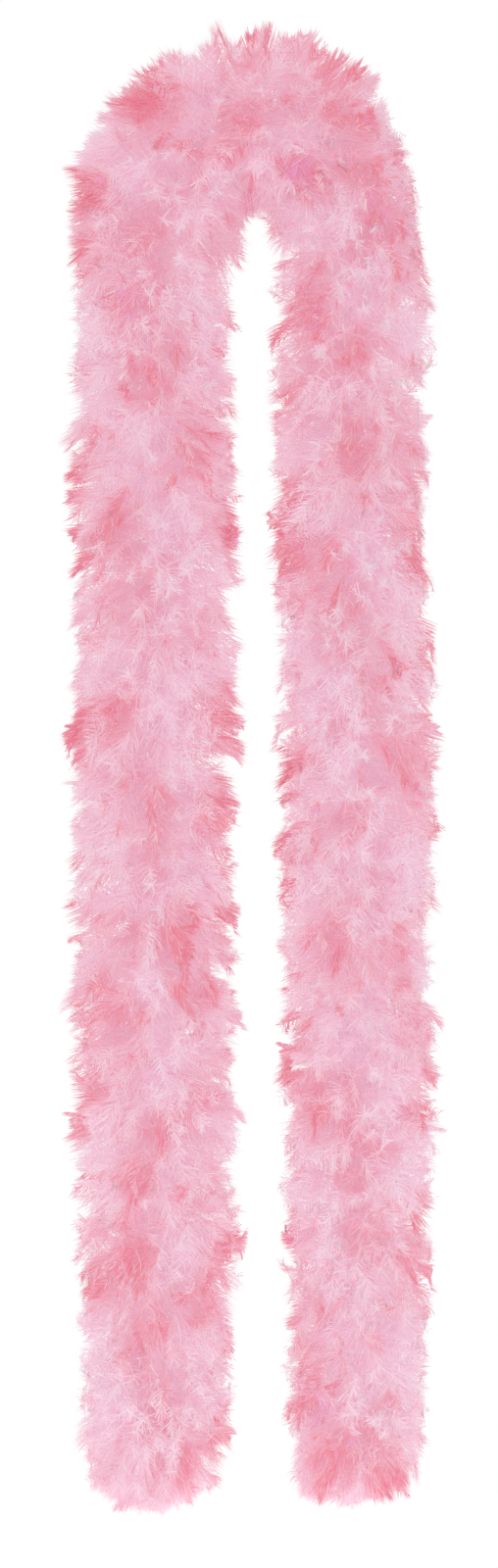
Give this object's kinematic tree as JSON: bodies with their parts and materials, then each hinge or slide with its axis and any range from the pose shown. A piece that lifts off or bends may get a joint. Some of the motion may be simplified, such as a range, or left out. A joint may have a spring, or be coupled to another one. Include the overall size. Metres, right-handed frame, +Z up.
{
  "type": "feather boa",
  "caption": "Fluffy feather boa hanging doubled over a peg: feather whorls lashed along a soft cord that bends, with a knot at each end.",
  "frame": {"origin": "on the axis of the peg that the boa hangs over, in the middle of its bend from front to back", "axes": "+Z up and along the hanging legs, +X to the right as seen from the front, front towards -Y, which is also the peg's axis"},
  "size_m": [0.2321, 0.108, 0.9252],
  "materials": {
    "down": "soft pale pink down with coral tips",
    "cord": "twisted cotton, dyed pink",
    "thread": "waxed sewing thread, dyed pink"
  },
  "bodies": {
    "bend": {"core_cord_bend": "cord", "binding_thread_bend": "thread", "feather_whorl_top": "down", "feather_whorl_left_bend_1": "down", "feather_whorl_left_bend_2": "down", "feather_whorl_right_bend_1": "down", "feather_whorl_right_bend_2": "down"},
    "left_1": {"core_cord_left_1": "cord", "binding_thread_left_1": "thread", "feather_whorl_left_01": "down", "feather_whorl_left_02": "down", "feather_whorl_left_03": "down", "feather_whorl_left_04": "down"},
    "left_2": {"core_cord_left_2": "cord", "binding_thread_left_2": "thread", "feather_whorl_left_05": "down", "feather_whorl_left_06": "down", "feather_whorl_left_07": "down", "feather_whorl_left_08": "down"},
    "left_3": {"core_cord_left_3": "cord", "binding_thread_left_3": "thread", "feather_whorl_left_09": "down", "feather_whorl_left_10": "down", "feather_whorl_left_11": "down", "feather_whorl_left_12": "down"},
    "left_4": {"core_cord_left_4": "cord", "binding_thread_left_4": "thread", "feather_whorl_left_13": "down", "feather_whorl_left_14": "down", "feather_whorl_left_15": "down", "feather_whorl_left_16": "down", "end_whipping_left": "thread", "end_knot_left": "cord"},
    "right_1": {"core_cord_right_1": "cord", "binding_thread_right_1": "thread", "feather_whorl_right_01": "down", "feather_whorl_right_02": "down", "feather_whorl_right_03": "down", "feather_whorl_right_04": "down"},
    "right_2": {"core_cord_right_2": "cord", "binding_thread_right_2": "thread", "feather_whorl_right_05": "down", "feather_whorl_right_06": "down", "feather_whorl_right_07": "down", "feather_whorl_right_08": "down"},
    "right_3": {"core_cord_right_3": "cord", "binding_thread_right_3": "thread", "feather_whorl_right_09": "down", "feather_whorl_right_10": "down", "feather_whorl_right_11": "down", "feather_whorl_right_12": "down"},
    "right_4": {"core_cord_right_4": "cord", "binding_thread_right_4": "thread", "feather_whorl_right_13": "down", "feather_whorl_right_14": "down", "feather_whorl_right_15": "down", "feather_whorl_right_16": "down", "end_whipping_right": "thread", "end_knot_right": "cord"}
  },
  "joints": [
    {"name": "left_upper_spread", "type": "hinge", "parent": "bend", "child": "left_1", "pos_m": [-0.06307, 0, -0.02166], "axis": [0, 1, 0], "range_deg": [0, 35]},
    {"name": "left_upper_swing", "type": "hinge", "parent": "left_1", "child": "left_2", "pos_m": [-0.06348, 0, -0.21324], "axis": [1, 0, 0], "range_deg": [-35, 35]},
    {"name": "left_lower_spread", "type": "hinge", "parent": "left_2", "child": "left_3", "pos_m": [-0.06456, 0, -0.40482], "axis": [0, 1, 0], "range_deg": [0, 35]},
    {"name": "left_lower_swing", "type": "hinge", "parent": "left_3", "child": "left_4", "pos_m": [-0.0621, 0, -0.59638], "axis": [1, 0, 0], "range_deg": [-35, 35]},
    {"name": "right_upper_spread", "type": "hinge", "parent": "bend", "child": "right_1", "pos_m": [0.06307, 0, -0.02166], "axis": [0, -1, 0], "range_deg": [0, 35]},
    {"name": "right_upper_swing", "type": "hinge", "parent": "right_1", "child": "right_2", "pos_m": [0.06348, 0, -0.21323], "axis": [1, 0, 0], "range_deg": [-35, 35]},
    {"name": "right_lower_spread", "type": "hinge", "parent": "right_2", "child": "right_3", "pos_m": [0.06444, 0, -0.40481], "axis": [0, -1, 0], "range_deg": [0, 35]},
    {"name": "right_lower_swing", "type": "hinge", "parent": "right_3", "child": "right_4", "pos_m": [0.06498, 0, -0.59639], "axis": [1, 0, 0], "range_deg": [-35, 35]}
  ]
}
